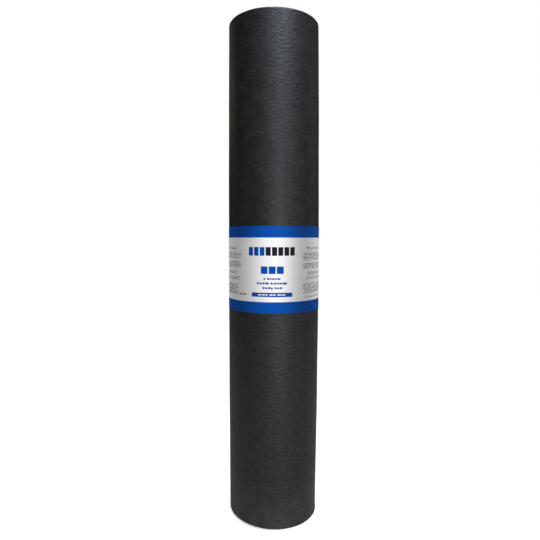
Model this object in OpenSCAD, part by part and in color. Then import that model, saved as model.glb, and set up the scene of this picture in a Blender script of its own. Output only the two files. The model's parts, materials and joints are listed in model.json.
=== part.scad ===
// A roll of asphalt-saturated roofing felt, standing on its end, with a paper label wrapped round it.
// The origin is the centre of the end that it stands on, and +Z runs up the axis of the roll.

/* [Felt roll] */
// Height of the standing roll, which is the width of the felt web
web_width = 914.4; // [300:0.1:1200]
// Diameter across the outer turn
roll_diameter = 170; // [110:1:300]
// Diameter of the open middle that the felt is wound round
bore_diameter = 40; // [20:1:90]
// Thickness of one layer of felt
felt_thickness = 0.98; // [0.7:0.01:3]

/* [Turns on the ends] */
// Width of the groove where two turns meet, as a share of a layer's thickness
groove_share = 0.35; // [0.1:0.05:0.6]
// Depth of the groove where two turns meet
groove_depth = 0.6; // [0.2:0.1:2]

/* [Paper label] */
// Height of the paper band
label_width = 152.4; // [40:0.1:250]
// Height of the band's centre above the foot of the roll, as a share of the roll's height
label_centre_share = 0.517; // [0.3:0.001:0.7]
// Thickness of the paper
label_thickness = 0.2; // [0.1:0.05:0.6]
// Clearance between the paper and the felt, radially
label_clearance = 0.1; // [0:0.05:0.3]
// Length of the glued lap where the band's ends cross at the back, along the paper
label_lap = 25; // [8:1:60]

/* [Hidden] */

$fn = 180;

roll_radius = roll_diameter / 2;
bore_radius = bore_diameter / 2;

// Whole turns fill the wall between the bore and the outer face, so the pitch is within a few
// hundredths of the felt's own thickness.
turns = round((roll_radius - bore_radius) / felt_thickness);
turn_pitch = (roll_radius - bore_radius) / turns;
half_groove = turn_pitch * groove_share / 2;

label_inner_radius = roll_radius + label_clearance;
label_outer_radius = label_inner_radius + label_thickness;
label_bottom = web_width * label_centre_share - label_width / 2;
label_lap_angle = label_lap / label_outer_radius * 180 / PI;

// How far a cutting solid runs past the faces that it cuts.
cut_past = 1;

// The end of the roll in section, from the outer face in to the bore: each turn's cut edge is a flat
// land at height 0, and a groove of groove_depth runs down between it and the next turn.
end_section = [
    for (i = [turns - 1 : -1 : 0])
        let (inner = bore_radius + i * turn_pitch, outer = inner + turn_pitch)
        each [[outer, -groove_depth], [outer - half_groove, 0], [inner + half_groove, 0]],
    [bore_radius, -groove_depth]
];

// The wound felt: one turned solid with a bore right through it.
module felt_roll() {
    top = [for (p = end_section) [p[0], web_width + p[1]]];
    foot = [for (i = [len(end_section) - 1 : -1 : 0]) [end_section[i][0], -end_section[i][1]]];
    color("#2a2a2a")
        rotate_extrude()
            polygon(concat(top, foot));
}

// A disc of the band's height, out to a number of layers of paper over the felt.
module paper_disc(layers) {
    cylinder(h = label_width, r = label_inner_radius + layers * label_thickness);
}

// A wedge that takes in the stretch at the back where the band's ends lap.
module lap_wedge() {
    reach = 2 * label_outer_radius;
    half_width = reach * tan(label_lap_angle / 2);
    linear_extrude(label_width)
        polygon([[0, 0], [half_width, reach], [-half_width, reach]]);
}

// The paper band: one layer all the way round, and two where its ends lap at the back.
module label_band() {
    color("#e6e6e6")
        translate([0, 0, label_bottom])
            difference() {
                union() {
                    paper_disc(layers = 1);
                    intersection() {
                        paper_disc(layers = 2);
                        lap_wedge();
                    }
                }
                translate([0, 0, -cut_past])
                    cylinder(h = label_width + 2 * cut_past, r = label_inner_radius);
            }
}

felt_roll();
label_band();
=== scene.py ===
import json
import math

import bpy
import numpy as np
from mathutils import Euler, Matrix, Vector


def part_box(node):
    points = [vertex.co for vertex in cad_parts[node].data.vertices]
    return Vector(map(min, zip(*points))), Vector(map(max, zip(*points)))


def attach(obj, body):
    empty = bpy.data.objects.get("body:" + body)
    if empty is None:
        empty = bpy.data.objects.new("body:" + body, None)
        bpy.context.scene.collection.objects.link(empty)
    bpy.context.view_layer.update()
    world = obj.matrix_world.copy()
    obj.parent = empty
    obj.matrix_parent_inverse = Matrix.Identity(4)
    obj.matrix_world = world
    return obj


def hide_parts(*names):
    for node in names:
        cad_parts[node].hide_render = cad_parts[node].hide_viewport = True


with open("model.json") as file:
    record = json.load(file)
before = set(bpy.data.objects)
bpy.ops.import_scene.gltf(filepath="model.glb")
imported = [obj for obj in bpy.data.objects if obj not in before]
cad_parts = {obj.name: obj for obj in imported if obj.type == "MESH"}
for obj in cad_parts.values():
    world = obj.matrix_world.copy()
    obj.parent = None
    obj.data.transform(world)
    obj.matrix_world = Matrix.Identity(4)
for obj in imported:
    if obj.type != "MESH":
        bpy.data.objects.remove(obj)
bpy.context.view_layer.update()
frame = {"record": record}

bl_info = {
    "name": "Roofing Felt Roll",
    "version": (1, 0, 0),
    "blender": (4, 5, 0),
    "location": "View3D > Sidebar > Felt Roll",
    "description": "A standing roll of roofing felt with its paper label, in a plain studio",
    "category": "Object",
}

MM = 0.001
FULL_TURN = 2 * math.pi
FRONT = -math.pi / 2   # the angle round +Z of the side that faces the viewer, -Y


def bore_radius_of_frame():
    """The open middle's radius in metres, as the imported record's bore mount states it."""
    for mount in frame["record"]["mounts"]:
        if mount["kind"] == "bore":
            return mount["dims"]["r_mm"] * MM
    raise RuntimeError("the packed record has no bore mount")


FELT_LOW, FELT_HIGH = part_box("felt_roll")
LABEL_LOW, LABEL_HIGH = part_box("label_band")
ROLL_RADIUS = FELT_HIGH.x
ROLL_HEIGHT = FELT_HIGH.z
LABEL_BOTTOM = LABEL_LOW.z
LABEL_HEIGHT = LABEL_HIGH.z - LABEL_LOW.z
LABEL_FRONT = 0.115    # how far round from the front's middle the printed part of the label reaches
BORE_RADIUS = bore_radius_of_frame()


# ---------------------------------------------------------------- settings

def length(name, description, default, low=0.0, high=10.0):
    """A length property in metres."""
    return bpy.props.FloatProperty(
        name=name, description=description, default=default, min=low, max=high,
        precision=5, subtype="DISTANCE", unit="LENGTH")


def share(name, description, default):
    """A share from 0 to 1."""
    return bpy.props.FloatProperty(
        name=name, description=description, default=default, min=0.0, max=1.0, subtype="FACTOR")


def angle(name, description, default_degrees):
    """An angle property, whose default is given in degrees."""
    return bpy.props.FloatProperty(
        name=name, description=description, default=math.radians(default_degrees),
        subtype="ANGLE", unit="ROTATION")


def colour(name, description, hex_code):
    """A colour property, whose default is an sRGB hex value."""
    return bpy.props.FloatVectorProperty(
        name=name, description=description, default=linear(hex_code)[:3], size=3,
        min=0.0, max=1.0, subtype="COLOR")


def linear(hex_code):
    """Turns an sRGB hex value such as #1f2020 into linear red, green, blue and alpha."""
    parts = [int(hex_code[i:i + 2], 16) / 255 for i in (1, 3, 5)]
    return [c / 12.92 if c <= 0.04045 else ((c + 0.055) / 1.055) ** 2.4 for c in parts] + [1.0]


class FELT_PG_roll(bpy.types.PropertyGroup):
    """Sizes and colours of the wound felt."""
    thickness: length("Felt Thickness", "Thickness of one layer of felt", 0.98 * MM)
    groove_share: share("Groove Width", "Groove between two turns, as a share of the thickness", 0.35)
    groove_depth: length("Groove Depth", "Depth of the groove between two turns", 0.6 * MM)
    lap_angle: angle("Lap Edge", "Where the web's free end lies, round from the front", -112)
    barrel: length("Barrel", "How much further the middle stands out than the ends", 2.57 * MM)
    taper: length("Taper", "How much tighter the top end is than the foot", 1.0 * MM)
    sway: length("Sway", "How far the middle bends to the right of both ends", 1.1 * MM)
    foot_flare: length("Foot Flare", "How far the outer turns splay at the right of the foot", 0.8 * MM)
    crush: length("Crushed Foot", "How far the outer turns' foot is knocked up at one side", 4.4 * MM)
    crush_angle: angle("Crushed Side", "Where the foot is knocked up, round from the front", -70)
    wander: length("Web Wander", "How far turns stand proud of each other at the ends", 1.1 * MM)
    dents: length("Dents", "Depth of the shallow hollows in the outer turn", 0.22 * MM)
    felt_colour: colour("Felt", "Asphalt-saturated face of the felt", "#151515")
    fibre_colour: colour("Fibres", "Fibres that the asphalt covers thinly", "#292622")
    edge_colour: colour("Slit Edge", "Cut edge of the felt", "#1f1b18")
    # A lighter olive grey that the felt turns towards over its lowest 100 mm, in patches.
    foot_lightening_colour: colour("Lighter Foot", "Floor dust that clings near the foot", "#6b6a5c")


class FELT_PG_label(bpy.types.PropertyGroup):
    """Sizes and colours of the paper label."""
    thickness: length("Paper Thickness", "Thickness of the paper", 0.2 * MM)
    clearance: length("Clearance", "Gap between the paper and the felt", 0.1 * MM)
    lap: length("Glued Lap", "Length of the lap at the back", 25 * MM)
    edge_lift: length("Edge Lift", "How far the paper's edges stand away in places", 0.5 * MM)
    stripe: length("Stripe", "Height of the printed stripe along each edge", 20 * MM)
    paper_colour: colour("Paper", "Unprinted paper", "#f9f3ec")
    stripe_colour: colour("Blue Ink", "Ink of the stripes", "#004ca2")
    dark_colour: colour("Dark Ink", "Ink of the heading", "#1b1d22")
    small_colour: colour("Small Print Ink", "Ink of the ruled small print", "#54575c")
    # Painted shade: a grey multiplied over the print round each side of the front, standing in for the
    # label's rounded shading.
    painted_shade_colour: colour("Painted Shade", "Tint that is printed over the panel and stripes", "#adadac")
    painted_shade_left: share("Painted Shade On The Left", "How deep the tint is on the left, against the right", 0.56)
    painted_shade_reach: length("Painted Shade Reach", "From the front's middle to where the tint is darkest", 57 * MM)


class FELT_PG_studio(bpy.types.PropertyGroup):
    """Camera, floor and lights."""
    distance: length("Camera Distance", "From the roll's axis to the camera", 0.8756)
    height: length("Camera Height", "Camera above the floor", 0.5286)
    pitch: angle("Pitch", "How far the camera looks down", 4.03)
    turn: angle("Turn", "How far the camera is turned to its left", 0.42)
    tilt: angle("Tilt", "How far the camera is tilted about its own axis", 0.122)
    lens: bpy.props.FloatProperty(
        name="Lens", description="Focal length on a 36 mm sensor", default=30.46, min=1.0, unit="CAMERA")
    floor_radius: length("Floor Radius", "Radius of the round floor", 4.0)
    floor_colour: colour("Floor", "Pale floor", "#a3a29f")
    floor_glow: bpy.props.FloatProperty(
        name="Floor Glow", description="How brightly the floor itself glows", default=0.64, min=0.0)
    card_colour: colour("Bounce Card", "What lights the roll from below", "#8d8b83")


# ---------------------------------------------------------------- node helper

def add_node(tree, kind, inputs=None, **settings):
    """Adds one node with its settings. Each input is a value or another node's output socket."""
    node = tree.nodes.new(kind)
    for name, value in settings.items():
        setattr(node, name, value)
    for key, value in (inputs or {}).items():
        if isinstance(value, bpy.types.NodeSocket):
            tree.links.new(value, node.inputs[key])
        else:
            node.inputs[key].default_value = value
    return node


def new_material(name):
    """An empty node material with its Principled shader and output, as (material, tree, shader)."""
    material = bpy.data.materials.new(name)
    material.use_nodes = True
    tree = material.node_tree
    tree.nodes.clear()
    shader = add_node(tree, "ShaderNodeBsdfPrincipled")
    add_node(tree, "ShaderNodeOutputMaterial", {"Surface": shader.outputs["BSDF"]})
    return material, tree, shader


def rgba(colour_value):
    """A property's colour with full alpha."""
    return [*colour_value, 1.0]


def scale_of(size_mm):
    """A noise scale, in waves per metre, for features of a size in millimetres."""
    return 1 / (size_mm * MM)


# ---------------------------------------------------------------- materials

def creped_saturated_felt(settings):
    """Organic felt soaked in asphalt and creped round the roll as it dried.

    Near-black, neither glossy nor dead matte: the asphalt gives a broad soft highlight, and the
    crepe's low ridges, which run round the roll, break it into fine level streaks.
    """
    material, tree, shader = new_material("asphalt_saturated_felt_creped")
    web = add_node(tree, "ShaderNodeUVMap", uv_map="web").outputs["UV"]

    # Crepe ridges about 12 mm long round the roll and 4.2 mm apart up it, over a mottle half as long.
    ridge_places = add_node(tree, "ShaderNodeVectorMath", {0: web, 1: (scale_of(12), scale_of(4.2), 1)},
                            operation="MULTIPLY").outputs["Vector"]
    ridges = add_node(tree, "ShaderNodeTexNoise", {
        "Vector": ridge_places, "Scale": 1.0, "Detail": 1.0, "Roughness": 0.35, "Distortion": 0.4},
        noise_dimensions="2D").outputs["Fac"]
    mottle_places = add_node(tree, "ShaderNodeVectorMath", {0: web, 1: (scale_of(6), scale_of(3.5), 1)},
                             operation="MULTIPLY").outputs["Vector"]
    mottle = add_node(tree, "ShaderNodeTexNoise", {
        "Vector": mottle_places, "Scale": 1.0, "Detail": 1.0, "Roughness": 0.4},
        noise_dimensions="2D").outputs["Fac"]
    # Matted fibre grain under 1 mm.
    grain = add_node(tree, "ShaderNodeTexNoise", {
        "Vector": web, "Scale": scale_of(0.9), "Detail": 2.0, "Roughness": 0.65},
        noise_dimensions="2D").outputs["Fac"]
    # Patches about 25 mm across where the felt took up more or less asphalt.
    patches = add_node(tree, "ShaderNodeTexNoise", {
        "Vector": web, "Scale": scale_of(25), "Detail": 4.0, "Roughness": 0.6},
        noise_dimensions="2D").outputs["Fac"]

    mottle_share = add_node(tree, "ShaderNodeMath", {0: mottle, 1: 0.5}, operation="MULTIPLY").outputs[0]
    relief = add_node(tree, "ShaderNodeMath", {0: ridges, 1: mottle_share}, operation="ADD").outputs[0]
    crepe_bump = add_node(tree, "ShaderNodeBump", {
        "Height": relief, "Strength": 1.0, "Distance": 0.44 * MM}).outputs["Normal"]
    normal = add_node(tree, "ShaderNodeBump", {
        "Height": grain, "Strength": 1.0, "Distance": 0.03 * MM, "Normal": crepe_bump}).outputs["Normal"]

    # Lighter fibres show where patches and grain both run high.
    fibre_mix = add_node(tree, "ShaderNodeMath", {0: patches, 1: grain}, operation="MULTIPLY").outputs[0]
    fibre_share = add_node(tree, "ShaderNodeMapRange", {
        "Value": fibre_mix, "From Min": 0.18, "From Max": 0.42, "To Min": 0.0, "To Max": 0.4},
        interpolation_type="SMOOTHSTEP").outputs[0]
    face = add_node(tree, "ShaderNodeMix", {
        "Factor": fibre_share, "A": rgba(settings.felt_colour), "B": rgba(settings.fibre_colour)},
        data_type="RGBA").outputs["Result"]
    # The asphalt film shines more where it lies thicker, which follows the crepe.
    film = add_node(tree, "ShaderNodeMapRange", {
        "Value": relief, "From Min": 0.50, "From Max": 1.00, "To Min": 0.42, "To Max": 0.58}).outputs[0]

    # The felt turns lighter and more olive-grey over the lowest 100 mm, in patches, fading out upwards.
    height = add_node(tree, "ShaderNodeSeparateXYZ", {0: web}).outputs["Y"]
    low_down = add_node(tree, "ShaderNodeMapRange", {
        "Value": height, "From Min": 0.0, "From Max": 0.10, "To Min": 0.30, "To Max": 0.0},
        interpolation_type="SMOOTHSTEP").outputs[0]
    foot_lightening_share = add_node(tree, "ShaderNodeMath", {0: low_down, 1: patches},
                          operation="MULTIPLY").outputs[0]
    foot_lightened = add_node(tree, "ShaderNodeMix", {
        "Factor": foot_lightening_share, "A": face, "B": rgba(settings.foot_lightening_colour)},
        data_type="RGBA").outputs["Result"]

    roughness = add_node(tree, "ShaderNodeMapRange", {
        "Value": patches, "From Min": 0.3, "From Max": 0.7, "To Min": 0.52, "To Max": 0.58}).outputs[0]
    tree.links.new(foot_lightened, shader.inputs["Base Color"])
    tree.links.new(roughness, shader.inputs["Roughness"])
    tree.links.new(film, shader.inputs["Specular IOR Level"])
    tree.links.new(normal, shader.inputs["Normal"])
    shader.inputs["IOR"].default_value = 1.44
    return material


def slit_felt_edge(settings):
    """The web's edge, slit by a rotary knife: torn fibre ends, brown-black and quite matte."""
    material, tree, shader = new_material("asphalt_saturated_felt_slit_edge")
    place = add_node(tree, "ShaderNodeTexCoord").outputs["Object"]
    # Fibre ends about 0.7 mm across, over blotches about 12 mm across.
    ends = add_node(tree, "ShaderNodeTexNoise", {
        "Vector": place, "Scale": scale_of(0.7), "Detail": 2.0, "Roughness": 0.6}).outputs["Fac"]
    blotches = add_node(tree, "ShaderNodeTexNoise", {
        "Vector": place, "Scale": scale_of(12), "Detail": 3.0, "Roughness": 0.6}).outputs["Fac"]
    mixed = add_node(tree, "ShaderNodeMath", {0: ends, 1: blotches}, operation="MULTIPLY").outputs[0]
    fibre_share = add_node(tree, "ShaderNodeMapRange", {
        "Value": mixed, "From Min": 0.15, "From Max": 0.40}, interpolation_type="SMOOTHSTEP").outputs[0]
    tint = add_node(tree, "ShaderNodeMix", {
        "Factor": fibre_share, "A": rgba(settings.edge_colour), "B": rgba(settings.fibre_colour)},
        data_type="RGBA").outputs["Result"]
    roughness = add_node(tree, "ShaderNodeMapRange", {
        "Value": blotches, "From Min": 0.3, "From Max": 0.7, "To Min": 0.72, "To Max": 0.88}).outputs[0]
    normal = add_node(tree, "ShaderNodeBump", {
        "Height": ends, "Strength": 1.0, "Distance": 0.15 * MM}).outputs["Normal"]
    tree.links.new(tint, shader.inputs["Base Color"])
    tree.links.new(roughness, shader.inputs["Roughness"])
    tree.links.new(normal, shader.inputs["Normal"])
    shader.inputs["IOR"].default_value = 1.5
    return material


def bar_group():
    """A node group that gives 1 inside a bar with rounded corners and 0 outside it."""
    tree = bpy.data.node_groups.new("printed_bar", "ShaderNodeTree")
    for name in ("Point", "Centre", "Half Size"):
        tree.interface.new_socket(name, in_out="INPUT", socket_type="NodeSocketVector")
    tree.interface.new_socket("Corner", in_out="INPUT", socket_type="NodeSocketFloat")
    tree.interface.new_socket("Mask", in_out="OUTPUT", socket_type="NodeSocketFloat")
    given = add_node(tree, "NodeGroupInput").outputs
    offset = add_node(tree, "ShaderNodeVectorMath", {0: given["Point"], 1: given["Centre"]},
                      operation="SUBTRACT").outputs["Vector"]
    folded = add_node(tree, "ShaderNodeVectorMath", {0: offset}, operation="ABSOLUTE").outputs["Vector"]
    corner = add_node(tree, "ShaderNodeCombineXYZ", {0: given["Corner"], 1: given["Corner"]}).outputs[0]
    inner = add_node(tree, "ShaderNodeVectorMath", {0: given["Half Size"], 1: corner},
                     operation="SUBTRACT").outputs["Vector"]
    beyond = add_node(tree, "ShaderNodeVectorMath", {0: folded, 1: inner},
                      operation="SUBTRACT").outputs["Vector"]
    outside = add_node(tree, "ShaderNodeVectorMath", {0: beyond, 1: (0, 0, 0)},
                       operation="MAXIMUM").outputs["Vector"]
    reach = add_node(tree, "ShaderNodeVectorMath", {0: outside}, operation="LENGTH").outputs["Value"]
    mask = add_node(tree, "ShaderNodeMath", {0: reach, 1: given["Corner"]},
                    operation="LESS_THAN").outputs[0]
    add_node(tree, "NodeGroupOutput", {"Mask": mask})
    return tree


def printed_bars(tree, group, sheet, bars, corner=0.5):
    """The mask of several bars, each (left, right, bottom, top) in millimetres on the sheet."""
    total = None
    for left, right, bottom, top in bars:
        centre = ((left + right) / 2 * MM, (bottom + top) / 2 * MM, 0)
        half = ((right - left) / 2 * MM, (top - bottom) / 2 * MM, 1)
        bar = add_node(tree, "ShaderNodeGroup", node_tree=group)
        tree.links.new(sheet, bar.inputs["Point"])
        bar.inputs["Centre"].default_value = centre
        bar.inputs["Half Size"].default_value = half
        bar.inputs["Corner"].default_value = min(corner * MM, half[0] * 0.9, half[1] * 0.9)
        mask = bar.outputs["Mask"]
        if total is not None:
            mask = add_node(tree, "ShaderNodeMath", {0: total, 1: mask},
                            operation="MAXIMUM").outputs[0]
        total = mask
    return total


# The layout of the plain print, in millimetres: across from the front centre, and up from the
# label's lower edge. Bold blocks stand where a name and a grade would be, and small bars where
# notes would be. None of them is a letter or a figure.
HEADING_BLUE = [(-45, -36.5, 101, 116), (-34.5, -26, 101, 116), (-24, -15.5, 101, 116)]
HEADING_DARK = [(-13.5, -4.5, 101, 116), (-2.5, 6.5, 101, 116), (8.5, 17, 101, 116),
                (19, 27.5, 101, 116), (29.5, 38, 101, 116)]
GRADE_BLOCKS = [(-22, -10, 69.5, 82.5), (-8, 4, 69.5, 82.5), (6, 18, 69.5, 82.5)]
LINE_BARS = [(-17, -14, 59, 62.5), (-11, -7, 59, 62.5), (-6, -3, 59, 62),
             (-2, 2, 59, 62), (3, 6, 59, 62), (7, 12, 59, 62),
             (-29, -25, 51, 54.5), (-24, -20, 51, 54), (-19, -15, 51, 54.5), (-14, -8, 51, 54.5),
             (-5, -1, 51, 54.5), (0, 5, 51, 54), (6, 9, 51, 54.5), (10, 15, 51, 54), (16, 24, 51, 54.5),
             (-19, -15, 43, 46.5), (-14, -10, 43, 46), (-9, -5, 43, 46.5), (-4, -1, 42, 46),
             (2, 5, 43, 46.5), (6, 10, 43, 46), (11, 15, 43, 46.5)]
PLATE_BAR = [(-39, 34, 29, 36.5)]
PLATE_RULES = [(-27, -21, 31.7, 33.8), (-20, -15, 31.7, 33.8), (-14, -10, 31.7, 33.8),
               (-7, -2, 31.7, 33.8), (-1, 4, 31.7, 33.8), (7, 13, 31.7, 33.8), (14, 21, 31.7, 33.8)]
MARK_BARS = [(-67, -62, 31, 33.5), (-61, -56, 31, 33.5), (-55, -50, 31, 33.5)]
# Blocks of small print: left, right, bottom, top.
RIGHT_BLOCKS = [(64, 112, 112, 117), (56, 112, 92, 107), (56, 112, 77, 88),
                (68, 112, 66, 72), (64, 112, 58, 63), (56, 112, 34, 52), (60, 112, 26, 29)]
LEFT_BLOCKS = [(-112, -76, 112, 117), (-112, -62, 96, 106), (-112, -63, 79, 90),
               (-112, -72, 68, 72), (-112, -66, 56, 63), (-112, -70, 30, 50)]


def printed_label_paper(settings):
    """Uncoated wood-free paper, offset-printed: matte white, level colour and hardly any gloss."""
    material, tree, shader = new_material("uncoated_paper_offset_printed")
    sheet = add_node(tree, "ShaderNodeUVMap", uv_map="sheet").outputs["UV"]
    group = bar_group()
    height = add_node(tree, "ShaderNodeSeparateXYZ", {0: sheet}).outputs["Y"]

    # The stripes along both edges are what lies further from the middle than the white panel.
    from_middle = add_node(tree, "ShaderNodeMath", {0: height, 1: LABEL_HEIGHT / 2},
                           operation="SUBTRACT").outputs[0]
    off_middle = add_node(tree, "ShaderNodeMath", {0: from_middle}, operation="ABSOLUTE").outputs[0]
    stripes = add_node(tree, "ShaderNodeMath", {0: off_middle, 1: LABEL_HEIGHT / 2 - settings.stripe},
                       operation="GREATER_THAN").outputs[0]

    # Small print is drawn as ruled lines 2.6 mm apart, broken into short runs by a 2.8 mm noise that
    # differs from line to line. Real small print is nearer 1.5 mm, which is too fine to show.
    line_pitch = 2.6 * MM
    line_to_line = 7.31
    line_place = add_node(tree, "ShaderNodeMath", {0: height, 1: line_pitch},
                          operation="DIVIDE").outputs[0]
    across_line = add_node(tree, "ShaderNodeMath", {0: line_place}, operation="FRACT").outputs[0]
    line_number = add_node(tree, "ShaderNodeMath", {0: line_place}, operation="FLOOR").outputs[0]
    on_line = add_node(tree, "ShaderNodeMath", {0: across_line, 1: 0.5},
                       operation="LESS_THAN").outputs[0]
    along = add_node(tree, "ShaderNodeSeparateXYZ", {0: sheet}).outputs["X"]
    run_place = add_node(tree, "ShaderNodeCombineXYZ", {0: along, 1: line_number}).outputs[0]
    run_scaled = add_node(tree, "ShaderNodeVectorMath", {
        0: run_place, 1: (scale_of(2.8), line_to_line, 0)},
                          operation="MULTIPLY").outputs["Vector"]
    runs = add_node(tree, "ShaderNodeTexNoise", {
        "Vector": run_scaled, "Scale": 1.0, "Detail": 0.0}, noise_dimensions="2D").outputs["Fac"]
    on_run = add_node(tree, "ShaderNodeMath", {0: runs, 1: 0.42}, operation="GREATER_THAN").outputs[0]
    ruled = add_node(tree, "ShaderNodeMath", {0: on_line, 1: on_run}, operation="MULTIPLY").outputs[0]
    blocks = printed_bars(tree, group, sheet, RIGHT_BLOCKS + LEFT_BLOCKS, 0.1)
    small_print = add_node(tree, "ShaderNodeMath", {0: ruled, 1: blocks},
                           operation="MULTIPLY").outputs[0]

    heading_blue = printed_bars(tree, group, sheet, HEADING_BLUE, 1.0)
    heading_dark = printed_bars(tree, group, sheet, HEADING_DARK, 1.0)
    blue = printed_bars(tree, group, sheet, GRADE_BLOCKS + LINE_BARS + PLATE_BAR, 0.8)
    bare = printed_bars(tree, group, sheet, PLATE_RULES, 0.3)
    mark = printed_bars(tree, group, sheet, MARK_BARS, 0.3)

    # Slight cloudiness of the paper itself, in patches about 30 mm across.
    cloud = add_node(tree, "ShaderNodeTexNoise", {
        "Vector": sheet, "Scale": scale_of(30), "Detail": 3.0}, noise_dimensions="2D").outputs["Fac"]
    cloud_share = add_node(tree, "ShaderNodeMapRange", {
        "Value": cloud, "From Min": 0.3, "From Max": 0.7, "To Min": 0.0, "To Max": 0.05}).outputs[0]
    paper = rgba(settings.paper_colour)
    ink = add_node(tree, "ShaderNodeMix", {
        "Factor": cloud_share, "A": paper, "B": linear("#c9c7c0")}, data_type="RGBA").outputs["Result"]
    layers = ((stripes, rgba(settings.stripe_colour)), (small_print, rgba(settings.small_colour)),
              (mark, rgba(settings.small_colour)), (blue, rgba(settings.stripe_colour)),
              (heading_blue, rgba(settings.stripe_colour)), (heading_dark, rgba(settings.dark_colour)),
              (bare, paper))
    for mask, ink_colour in layers:
        ink = add_node(tree, "ShaderNodeMix", {"Factor": mask, "A": ink, "B": ink_colour},
                       data_type="RGBA").outputs["Result"]

    # Painted shade lies over all of it, a grey multiplied in: none at the front's middle, darkest round
    # each side, and gone again further back. It stands in for the rounded label's shading, deeper on the
    # right.
    aside = add_node(tree, "ShaderNodeMath", {0: along}, operation="ABSOLUTE").outputs[0]
    rise = add_node(tree, "ShaderNodeMapRange", {
        "Value": aside, "From Min": -0.035 * settings.painted_shade_reach, "From Max": settings.painted_shade_reach},
        interpolation_type="SMOOTHSTEP").outputs[0]
    fall = add_node(tree, "ShaderNodeMapRange", {
        "Value": aside, "From Min": 1.05 * settings.painted_shade_reach, "From Max": 2.2 * settings.painted_shade_reach,
        "To Min": 1.0, "To Max": 0.0}, interpolation_type="SMOOTHSTEP").outputs[0]
    side = add_node(tree, "ShaderNodeMapRange", {
        "Value": along, "From Min": 0.0, "From Max": 1 * MM,
        "To Min": settings.painted_shade_left, "To Max": 1.0}).outputs[0]
    both_ways = add_node(tree, "ShaderNodeMath", {0: rise, 1: fall}, operation="MULTIPLY").outputs[0]
    painted_shade_share = add_node(tree, "ShaderNodeMath", {0: both_ways, 1: side},
                          operation="MULTIPLY").outputs[0]
    ink = add_node(tree, "ShaderNodeMix", {
        "Factor": painted_shade_share, "A": ink, "B": rgba(settings.painted_shade_colour)},
        data_type="RGBA", blend_type="MULTIPLY").outputs["Result"]

    # The paper's fine tooth is about 0.4 mm across.
    tooth = add_node(tree, "ShaderNodeTexNoise", {
        "Vector": sheet, "Scale": scale_of(0.4), "Detail": 1.0}, noise_dimensions="2D").outputs["Fac"]
    normal = add_node(tree, "ShaderNodeBump", {
        "Height": tooth, "Strength": 0.4, "Distance": 0.02 * MM}).outputs["Normal"]
    roughness = add_node(tree, "ShaderNodeMapRange", {
        "Value": cloud, "From Min": 0.3, "From Max": 0.7, "To Min": 0.80, "To Max": 0.88}).outputs[0]
    tree.links.new(ink, shader.inputs["Base Color"])
    tree.links.new(roughness, shader.inputs["Roughness"])
    tree.links.new(normal, shader.inputs["Normal"])
    shader.inputs["IOR"].default_value = 1.45
    shader.inputs["Specular IOR Level"].default_value = 0.15
    return material


def bare_paper(settings):
    """The back and the cut ends of the same paper, uncoated: matte, and a little greyer."""
    material, tree, shader = new_material("uncoated_paper_back")
    place = add_node(tree, "ShaderNodeTexCoord").outputs["Object"]
    fibres = add_node(tree, "ShaderNodeTexNoise", {
        "Vector": place, "Scale": scale_of(1.5), "Detail": 3.0}).outputs["Fac"]
    tint = add_node(tree, "ShaderNodeMix", {
        "Factor": fibres, "A": rgba(settings.paper_colour), "B": linear("#d8d5cd")},
        data_type="RGBA").outputs["Result"]
    normal = add_node(tree, "ShaderNodeBump", {
        "Height": fibres, "Strength": 0.5, "Distance": 0.03 * MM}).outputs["Normal"]
    tree.links.new(tint, shader.inputs["Base Color"])
    tree.links.new(normal, shader.inputs["Normal"])
    shader.inputs["Roughness"].default_value = 0.85
    return material


# ---------------------------------------------------------------- shape of the winding

def wave_sum(waves, *places):
    """A smooth bump field: each wave is (strength, phase, one rate for each place)."""
    return sum(strength * np.sin(sum(rate * place for rate, place in zip(rates, places)) + phase)
               for strength, phase, *rates in waves)


# Shallow hollows of the outer turn: strength, phase, waves round the roll, radians per metre up it.
DENT_WAVES = [(0.45, 0.3, 2, 6.0), (0.35, 1.9, 3, -14.0), (0.30, 4.1, 5, 21.0), (0.22, 2.2, 8, -33.0),
              (0.18, 5.2, 11, 47.0), (0.12, 0.8, 17, -71.0), (0.10, 3.3, 23, 96.0)]
# Sideways wander of the web as it was wound: strength, phase, radians per turn.
WANDER_WAVES = [(0.40, 0.9, 0.37), (0.26, 2.4, 1.03), (0.18, 4.0, 2.61),
                (0.10, 1.1, 8.7), (0.06, 2.9, 31.0)]
# Where the label's edges stand away: strength, phase, waves round the roll.
CURL_WAVES = [(0.5, 0.4, 5), (0.3, 2.0, 9), (0.2, 4.4, 14)]
CURL_HEIGHT = 7 * MM        # how fast that dies away from the label's edge
NOMINAL_SHARE = 0.52        # the ends lie this share of the barrel inside the nominal radius
FLARE_HEIGHT = 9 * MM       # how fast the foot's flare dies away up the roll
CRUSH_REACH = 12 * MM       # how far in from the outer face the crushed foot reaches
CRUSH_FADE = 9 * MM         # over how much of that reach the crushing grows to its full height


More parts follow.
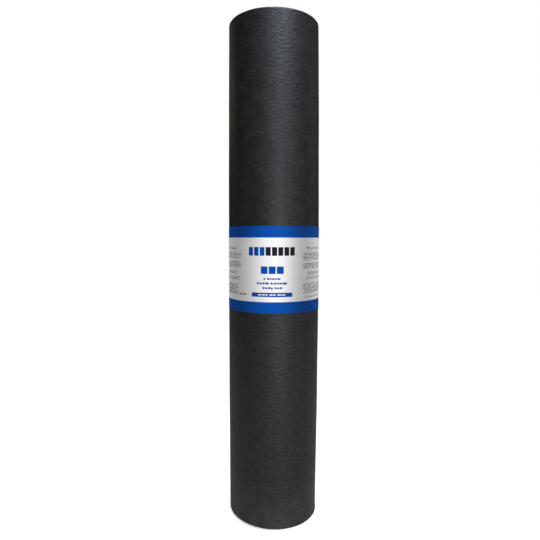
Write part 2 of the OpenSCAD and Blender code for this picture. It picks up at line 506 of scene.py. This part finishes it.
class Winding:
    """Works out where the wound web's faces lie."""

    def __init__(self, settings):
        self.settings = settings
        wall = ROLL_RADIUS - BORE_RADIUS
        layers = round(wall / settings.thickness)
        self.pitch = wall / layers
        self.turns = layers - 1   # the web's own thickness takes the place of the last turn
        self.lap = FRONT + settings.lap_angle

    def ease(self, phi, z):
        """How far the outside lies from its nominal radius, by its bulge, its bend and its foot."""
        s = self.settings
        along = 2 * z / ROLL_HEIGHT - 1
        middle = 1 - along ** 2
        bulge = s.barrel * (middle - NOMINAL_SHARE) - s.taper / 2 * along
        bend = s.sway * (middle - 0.5) * np.cos(phi)
        splay = s.foot_flare * (0.5 + 0.5 * np.cos(phi)) * np.exp(-z / FLARE_HEIGHT)
        return bulge + bend + splay

    def crush(self, phi, r):
        """How far the foot of the outer turns is knocked up, which is most at one side."""
        middle = FRONT + self.settings.crush_angle
        depth = np.clip((r - ROLL_RADIUS + CRUSH_REACH) / CRUSH_FADE, 0, 1)
        height = self.settings.crush * (0.5 + 0.5 * np.cos(phi - middle)) ** 2
        return height * depth * depth * (3 - 2 * depth)

    def dents(self, phi, z):
        """The shallow hollows of the outer turn."""
        return self.settings.dents * wave_sum(DENT_WAVES, phi, z)

    def outer_radius(self, phi, z):
        """Radius of the outer face at an angle and a height: it grows by one pitch up to the lap edge."""
        part = np.mod(phi - self.lap, FULL_TURN) / FULL_TURN
        spiral = ROLL_RADIUS - self.pitch * (1 - part)
        return spiral + self.ease(phi, z) + self.dents(phi, z)

    def wrap_radius(self, phi, z):
        """Radius that a tight wrapper follows: it bridges the step at the lap edge."""
        past_lap = np.mod(phi - self.lap, FULL_TURN)
        reach = math.sqrt(2 * self.pitch / ROLL_RADIUS)
        bridge = self.pitch * np.clip(1 - past_lap / reach, 0, 1) ** 2
        return self.outer_radius(phi, z) + bridge


def mesh_object(name, points, faces, materials):
    """A mesh object from points, faces and its materials."""
    mesh = bpy.data.meshes.new(name)
    mesh.from_pydata(points, [], faces)
    for material in materials:
        mesh.materials.append(material)
    piece = bpy.data.objects.new(name, mesh)
    bpy.context.scene.collection.objects.link(piece)
    return piece


def corners_of(piece, face_regions):
    """The point of each of the mesh's corners, and the region of the face that it belongs to."""
    mesh = piece.data
    corner_points = np.empty(len(mesh.loops), dtype=np.int64)
    mesh.loops.foreach_get("vertex_index", corner_points)
    sizes = np.empty(len(mesh.polygons), dtype=np.int64)
    mesh.polygons.foreach_get("loop_total", sizes)
    return corner_points, np.repeat(np.asarray(face_regions), sizes)


def bake_places(corner_regions, places, rectangles):
    """Each corner's place in the square that patterns are baked on.

    places gives two arrays for each region, which run from 0 to 1 across and up that region, and
    rectangles gives the region's own part of the square as left, bottom, width and height.
    """
    square = np.zeros((len(corner_regions), 2))
    for region, (across, up) in places.items():
        left, bottom, width, height = rectangles[region]
        here = corner_regions == region
        square[here, 0] = left + width * np.clip(across[here], 0, 1)
        square[here, 1] = bottom + height * np.clip(up[here], 0, 1)
    return square


def finish_mesh(piece, face_materials, corner_uvs, crease_degrees):
    """Sets each face's material, smooth shading, and each corner's place on the named UV maps."""
    mesh = piece.data
    mesh.polygons.foreach_set("material_index", face_materials)
    for name, corner_uv in corner_uvs.items():
        layer = mesh.uv_layers.new(name=name)
        layer.uv.foreach_set("vector", np.asarray(corner_uv, dtype=np.float32).ravel())
    mesh.shade_smooth()
    mesh.set_sharp_from_angle(angle=math.radians(crease_degrees))
    problems = mesh.validate(verbose=False)
    if problems:
        raise RuntimeError(f"{piece.name}: the mesh had to be repaired")
    mesh.update()


def build_felt_roll(settings):
    """The wound web as one closed mesh, from its inner tail at the bore to its lap edge outside."""
    steps = 120                 # steps round one turn
    rows = 392                  # rows up the outer face
    bore_rows = 24              # rows up the bore's face
    level_turns = 4             # turns over which the wander dies away towards the outside
    eased_corner = 0.2 * MM     # how deep the corners of the outer face and the bore are eased
    winding = Winding(settings)
    pitch = winding.pitch
    last = winding.turns * steps
    groove = pitch * settings.groove_share / 2

    index = np.arange(last + steps + 1)
    phi = winding.lap + FULL_TURN * index / steps
    radius = BORE_RADIUS + pitch * index / steps
    turn = index / steps
    wander = wave_sum(WANDER_WAVES, turn)
    wander = (wander - wander.min()) / np.ptp(wander) * settings.wander
    # The outermost turns are knocked level, so that the roll stands on them.
    wander = wander * np.clip((turn[-1] - 1 - turn) / level_turns, 0, 1)
    # The grooves have their full depth between turns, and are shallow at the outer face and the bore.
    inside_groove = np.clip((turn - 1) / 0.05, 0, 1) * np.clip((winding.turns - turn) / 0.05, 0, 1)
    groove_depth = eased_corner + (settings.groove_depth - eased_corner) * inside_groove

    points, faces, regions = [], [], []

    def add_points(r, angles, z):
        """Adds a line of points, and gives their numbers."""
        start = sum(len(p) for p in points)
        points.append(np.stack([r * np.cos(angles), r * np.sin(angles), z], axis=1))
        return np.arange(start, start + len(r))

    def add_quads(a, b, region):
        """Joins two lines of points, each step making one face that looks to the left of a to b."""
        for i in range(len(a) - 1):
            faces.append((a[i], b[i], b[i + 1], a[i + 1]))
        regions.extend([region] * (len(a) - 1))

    def bend(r, angles, z):
        """Eases a radius by the bulge and the dents: fully outside, and not at all at the bore."""
        out = (r - BORE_RADIUS) / (ROLL_RADIUS - BORE_RADIUS)
        return r + out * winding.ease(angles, z) + out ** 3 * winding.dents(angles, z)

    # Both ends: a groove line between turns, and the two edges of each turn's flat cut edge.
    web = slice(0, last + 1)
    land_inner = radius[web] + groove
    land_outer = radius[web] + pitch - groove
    ends = {}
    for side, base, sign in (("top", ROLL_HEIGHT, 1), ("foot", 0.0, -1)):
        lift = wander[web]
        if side == "foot":
            lift = lift + winding.crush(phi[web], radius[web] + pitch / 2)
        land_z = base + lift
        # A groove runs between this turn and the one inside it, deeper than the lower of the two.
        own = np.concatenate([lift, lift[-steps:]])
        inner_neighbour = np.concatenate([lift[:steps], lift])
        lower = np.minimum(own, inner_neighbour) if side == "top" else np.maximum(own, inner_neighbour)
        groove_z = base + lower - sign * groove_depth
        ends[side] = {
            "groove": add_points(bend(radius, phi, groove_z), phi, groove_z),
            "inner": add_points(bend(land_inner, phi[web], land_z), phi[web], land_z),
            "outer": add_points(bend(land_outer, phi[web], land_z), phi[web], land_z),
        }
    for side in ("top", "foot"):
        lines = ends[side]
        ladder = [lines["groove"][:last + 1], lines["inner"], lines["outer"], lines["groove"][steps:]]
        if side == "foot":
            ladder = ladder[::-1]
        for a, b in zip(ladder, ladder[1:]):
            add_quads(a, b, side)

    def wall(columns, row_count, region):
        """Makes the outer face or the bore's face between the groove lines of both ends."""
        top, foot = ends["top"]["groove"][columns], ends["foot"]["groove"][columns]
        all_points = np.concatenate(points)
        z_top, z_foot = all_points[top, 2], all_points[foot, 2]
        lines = [foot]
        for row in range(1, row_count):
            z = z_foot + (z_top - z_foot) * row / row_count
            lines.append(add_points(bend(radius[columns], phi[columns], z), phi[columns], z))
        lines.append(top)
        for low, high in zip(lines, lines[1:]):
            if region == "outside":
                add_quads(high, low, region)
            else:
                add_quads(low, high, region)
        return lines

    outside = wall(slice(last, last + steps + 1), rows, "outside")
    bore = wall(slice(0, steps + 1), bore_rows, "bore")

    def web_end(lines, at, region):
        """Closes a cut end of the web: the lap edge outside, or the tail in the bore."""
        near, far = [line[0] for line in lines], [line[-1] for line in lines]
        for row in range(len(lines) - 1):
            ring = [near[row], far[row], far[row + 1], near[row + 1]]
            if row == len(lines) - 2:
                ring[3:3] = [ends["top"]["outer"][at], ends["top"]["inner"][at]]
            if row == 0:
                ring[1:1] = [ends["foot"]["inner"][at], ends["foot"]["outer"][at]]
            faces.append(tuple(ring[::-1] if region == "lap" else ring))
            regions.append(region)

    web_end(outside, last, "lap")
    web_end(bore, 0, "tail")

    all_points = np.concatenate(points)
    piece = mesh_object("felt_winding", all_points.tolist(), [tuple(int(i) for i in f) for f in faces],
                        [creped_saturated_felt(settings), slit_felt_edge(settings)])

    # A corner's place on the web: metres along it from the lap edge, and metres up it. The bore's
    # face starts a metre further along, so that it doesn't repeat the outside's pattern.
    corners, corner_regions = corners_of(piece, regions)
    part = np.zeros(len(all_points))
    for line in outside + bore:
        part[line] = np.arange(steps + 1) / steps
    part = part[corners]
    x, y, z = all_points[corners].T
    in_bore = corner_regions == "bore"
    along = part * FULL_TURN * np.where(in_bore, BORE_RADIUS, ROLL_RADIUS) + in_bore
    along[~np.isin(corner_regions, ("outside", "bore"))] = 0

    # The outer face, both ends, the bore and the web's cut ends side by side in the bake's square.
    across = 2.06 * ROLL_RADIUS   # a little more than the end's width
    on_end = (0.5 + x / across, 0.5 + y / across)
    reach = np.hypot(x, y)
    lap_depth = (reach - bend(radius[last], phi[last], z)) / pitch
    tail_depth = (reach - BORE_RADIUS) / pitch
    up = z / ROLL_HEIGHT
    baked = bake_places(corner_regions, {
        "outside": (part, up), "bore": (up, part), "top": on_end, "foot": on_end,
        "lap": (lap_depth, up), "tail": (tail_depth, up)}, {
        "outside": (0.0, 0.0, 0.56, 1.0), "bore": (0.6, 0.0, 0.4, 0.14),
        "top": (0.6, 0.59, 0.4, 0.4), "foot": (0.6, 0.17, 0.4, 0.4),
        "lap": (0.568, 0.0, 0.008, 1.0), "tail": (0.584, 0.0, 0.008, 1.0)})
    finish_mesh(piece, [0 if region in ("outside", "bore") else 1 for region in regions],
                {"web": np.stack([along, z], axis=1), "OFBake": baked}, 40)
    return piece


def build_label(settings, felt_settings):
    """The paper band as one closed sheet wrapped round the roll, its end glued over its start behind."""
    steps, rows = 300, 56       # round the label, and up it
    glue = 0.06 * MM            # thickness of the glue in the lap
    climb_length = 6 * MM / ROLL_RADIUS
    winding = Winding(felt_settings)
    lap_half = settings.lap / 2 / ROLL_RADIUS
    turn = np.linspace(-math.pi - lap_half, math.pi + lap_half, steps + 1)
    phi = FRONT + turn
    # The upper layer climbs over the lower one just before the lap starts.
    climb = np.clip((turn - (math.pi - lap_half - climb_length)) / climb_length, 0, 1)
    climb = climb * climb * (3 - 2 * climb)
    layer = climb * (settings.thickness + glue)

    heights = LABEL_BOTTOM + LABEL_HEIGHT * np.arange(rows + 1) / rows
    points, lines = [], {"inner": [], "outer": []}
    count = 0
    for face, offset in (("inner", 0.0), ("outer", settings.thickness)):
        for z in heights:
            to_edge = min(z - LABEL_BOTTOM, LABEL_BOTTOM + LABEL_HEIGHT - z)
            near_edge = math.exp(-to_edge / CURL_HEIGHT)
            lift = settings.edge_lift * near_edge * np.clip(wave_sum(CURL_WAVES, phi), 0, 1)
            # The free corners of the glued end stand up slightly.
            towards_end = np.clip((turn - math.pi) / lap_half, 0, 1)
            end_lift = settings.edge_lift * 0.8 * near_edge * towards_end ** 2
            r = winding.wrap_radius(phi, z) + settings.clearance + layer + lift + end_lift + offset
            points.append(np.stack([r * np.cos(phi), r * np.sin(phi), np.full(len(phi), z)], axis=1))
            lines[face].append(np.arange(count, count + len(phi)))
            count += len(phi)

    # The printed face is baked in three lots: the front, and what is left of it and right of it.
    middles = (turn[:-1] + turn[1:]) / 2
    side_of_front = np.sign(middles) * (np.abs(middles) > LABEL_FRONT / ROLL_RADIUS)
    printed = [{-1: "left", 0: "front", 1: "right"}[int(side)] for side in side_of_front]
    faces, regions = [], []

    def add_quads(a, b, quad_regions):
        """Joins two lines of points, each step making one face that looks to the left of a to b."""
        for i in range(len(a) - 1):
            faces.append((int(a[i]), int(b[i]), int(b[i + 1]), int(a[i + 1])))
        regions.extend(quad_regions)

    for low, high in zip(lines["outer"], lines["outer"][1:]):
        add_quads(high, low, printed)
    for low, high in zip(lines["inner"], lines["inner"][1:]):
        add_quads(low, high, ["back"] * steps)
    add_quads(lines["inner"][-1], lines["outer"][-1], ["top edge"] * steps)
    add_quads(lines["outer"][0], lines["inner"][0], ["bottom edge"] * steps)
    for at, region in ((0, "start"), (-1, "end")):
        inner = np.array([line[at] for line in lines["inner"]])
        outer = np.array([line[at] for line in lines["outer"]])
        add_quads(*((inner, outer) if region == "start" else (outer, inner)), [region] * rows)

    all_points = np.concatenate(points)
    piece = mesh_object("paper_label", all_points.tolist(), faces,
                        [printed_label_paper(settings), bare_paper(settings)])
    corners, corner_regions = corners_of(piece, regions)
    along = np.tile(turn * ROLL_RADIUS, 2 * (rows + 1))[corners]
    height = all_points[corners, 2] - LABEL_BOTTOM
    half = turn[-1] * ROLL_RADIUS
    up = height / LABEL_HEIGHT
    whole = along / half / 2 + 0.5
    through = (corners >= count // 2).astype(float)
    baked = bake_places(corner_regions, {
        "front": (along / LABEL_FRONT / 2 + 0.5, up),
        "left": ((along + half) / (half - LABEL_FRONT), up),
        "right": ((along - LABEL_FRONT) / (half - LABEL_FRONT), up),
        "back": (whole, up), "top edge": (whole, through), "bottom edge": (whole, through),
        "start": (up, through), "end": (up, through)}, {
        "front": (0.0, 0.36, 1.0, 0.64), "back": (0.0, 0.0, 1.0, 0.07),
        "left": (0.0, 0.17, 0.49, 0.17), "right": (0.51, 0.17, 0.49, 0.17),
        "top edge": (0.0, 0.085, 1.0, 0.012), "bottom edge": (0.0, 0.113, 1.0, 0.012),
        "start": (0.0, 0.141, 0.49, 0.012), "end": (0.51, 0.141, 0.49, 0.012)})
    printed_regions = ("front", "left", "right", "top edge", "bottom edge")
    finish_mesh(piece, [0 if region in printed_regions else 1 for region in regions],
                {"sheet": np.stack([along, height], axis=1), "OFBake": baked}, 50)
    return piece


# ---------------------------------------------------------------- operators

class FELT_OT_winding(bpy.types.Operator):
    """Build the wound felt and let it stand for the plain CAD roll"""
    bl_idname = "felt.winding"
    bl_label = "Felt Winding"

    def execute(self, context):
        piece = build_felt_roll(context.scene.felt_roll)
        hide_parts("felt_roll")
        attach(piece, "root")
        return {"FINISHED"}


class FELT_OT_label(bpy.types.Operator):
    """Build the printed paper label and let it stand for the plain CAD band"""
    bl_idname = "felt.label"
    bl_label = "Paper Label"

    def execute(self, context):
        piece = build_label(context.scene.felt_label, context.scene.felt_roll)
        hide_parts("label_band")
        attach(piece, "root")
        return {"FINISHED"}


def soft_box(name, place, aim, width, height, power, hex_code):
    """A rectangular softbox at a place in metres, facing another place."""
    light = bpy.data.lights.new(name, "AREA")
    light.shape = "RECTANGLE"
    light.size = width
    light.size_y = height
    light.energy = power
    light.color = linear(hex_code)[:3]
    lamp = bpy.data.objects.new(name, light)
    lamp.location = place
    lamp.rotation_euler = (Vector(aim) - Vector(place)).to_track_quat("-Z", "Y").to_euler()
    lamp.visible_camera = False
    bpy.context.scene.collection.objects.link(lamp)
    return lamp


class FELT_OT_studio(bpy.types.Operator):
    """Make the pale floor, the soft lights and the camera"""
    bl_idname = "felt.studio"
    bl_label = "Studio"

    def execute(self, context):
        settings = context.scene.felt_studio
        scene = context.scene
        scene.view_settings.view_transform = "Standard"

        # The eye sees a pale matte floor that glows, as frosted acrylic lit from below does, which
        # keeps shadows on it faint. What lights the roll from below is a darker card 1 mm under it,
        # so that the floor can be white without washing out the dark felt.
        sides = 96
        radius = settings.floor_radius
        ring = FULL_TURN / sides * np.arange(sides)
        for name, z, disc_colour, glow in (("floor", 0.0, settings.floor_colour, settings.floor_glow),
                                           ("bounce_card", -1 * MM, settings.card_colour, 0.0)):
            material, tree, shader = new_material(f"frosted_acrylic_{name}")
            shader.inputs["Base Color"].default_value = rgba(disc_colour)
            shader.inputs["Roughness"].default_value = 0.9
            shader.inputs["Emission Color"].default_value = (1, 1, 1, 1)
            shader.inputs["Emission Strength"].default_value = glow
            points = [(radius * math.cos(turn), radius * math.sin(turn), z) for turn in ring]
            disc = mesh_object(name, points, [tuple(range(sides))], [material])
            for rays in ("diffuse", "glossy", "transmission", "shadow"):
                setattr(disc, f"visible_{rays}", name == "bounce_card")
            disc.visible_camera = name == "floor"

        # The backdrop is plain white to the eye and lights nothing.
        world = bpy.data.worlds.new("white_backdrop")
        world.use_nodes = True
        world.node_tree.nodes["Background"].inputs["Color"].default_value = (1, 1, 1, 1)
        for rays in ("diffuse", "glossy", "transmission", "scatter"):
            setattr(world.cycles_visibility, rays, False)
        scene.world = world

        sky = bpy.data.lights.new("overhead_wash", "SUN")
        sky.energy = 3.6
        sky.angle = math.radians(10)
        scene.collection.objects.link(bpy.data.objects.new("overhead_wash", sky))

        soft_box("key_softbox", (0.46, -0.99, 2.06), (0, 0, 0.5), 0.6, 0.6, 38, "#e3edff")
        soft_box("front_softbox", (0.43, -1.85, 0.45), (0, 0, 0.4), 0.6, 0.6, 15.5, "#f2f8ff")
        soft_box("rim_strip_left", (-1.37, 1.15, 1.35), (0, 0, 0.5), 0.6, 0.6, 1.35, "#ffeacc")
        soft_box("rim_strip_right", (1.60, 0.80, 1.15), (0, 0, 0.5), 0.4, 1.0, 1.3, "#fff6e6")
        # The felt would glare under this much light from behind, so it falls on the label alone.
        label_edge = soft_box("label_edge_softbox", (-1.27, 1.15, 0.60), (0, 0, 0.47), 0.5, 0.5, 18,
                              "#e6f0ff")
        label_edge.visible_glossy = False
        lit_pieces = bpy.data.collections.new("lit_by_label_edge_softbox")
        lit_pieces.objects.link(bpy.data.objects["paper_label"])
        label_edge.light_linking.receiver_collection = lit_pieces
        soft_box("back_softbox", (0, 1.70, 1.10), (0, 0, 0.5), 0.8, 0.8, 15, "#f6f8ff")

        camera = bpy.data.cameras.new("camera")
        camera.lens = settings.lens
        camera.sensor_width = 36
        camera.dof.use_dof = False
        viewer = bpy.data.objects.new("camera", camera)
        viewer.location = (0, -settings.distance, settings.height)
        aim = Euler((math.pi / 2 - settings.pitch, 0, settings.turn), "XYZ").to_matrix()
        roll = Euler((0, 0, settings.tilt), "XYZ").to_matrix()
        viewer.rotation_euler = (aim @ roll).to_euler()
        scene.collection.objects.link(viewer)
        scene.camera = viewer
        return {"FINISHED"}


class FELT_PT_panel(bpy.types.Panel):
    """Lists the parts of the felt roll"""
    bl_idname = "FELT_PT_panel"
    bl_label = "Roofing Felt Roll"
    bl_space_type = "VIEW_3D"
    bl_region_type = "UI"
    bl_category = "Felt Roll"

    def draw(self, context):
        for operator, group in STEPS:
            box = self.layout.box()
            box.operator(operator.bl_idname)
            settings = getattr(context.scene, group)
            for name in settings.bl_rna.properties.keys():
                if name not in ("rna_type", "name"):
                    box.prop(settings, name)


GROUPS = {"felt_roll": FELT_PG_roll, "felt_label": FELT_PG_label, "felt_studio": FELT_PG_studio}
STEPS = ((FELT_OT_winding, "felt_roll"), (FELT_OT_label, "felt_label"), (FELT_OT_studio, "felt_studio"))
CLASSES = (*GROUPS.values(), *(operator for operator, _ in STEPS), FELT_PT_panel)


def register():
    """Registers the classes, and puts each group of settings on the scene."""
    for cls in CLASSES:
        bpy.utils.register_class(cls)
    for name, group in GROUPS.items():
        setattr(bpy.types.Scene, name, bpy.props.PointerProperty(type=group))


def unregister():
    """Takes back what register does."""
    for name in GROUPS:
        delattr(bpy.types.Scene, name)
    for cls in reversed(CLASSES):
        bpy.utils.unregister_class(cls)


def main():
    """Builds every piece and the studio."""
    register()
    bpy.ops.felt.winding()
    bpy.ops.felt.label()
    bpy.ops.felt.studio()


if __name__ == "__main__":
    main()
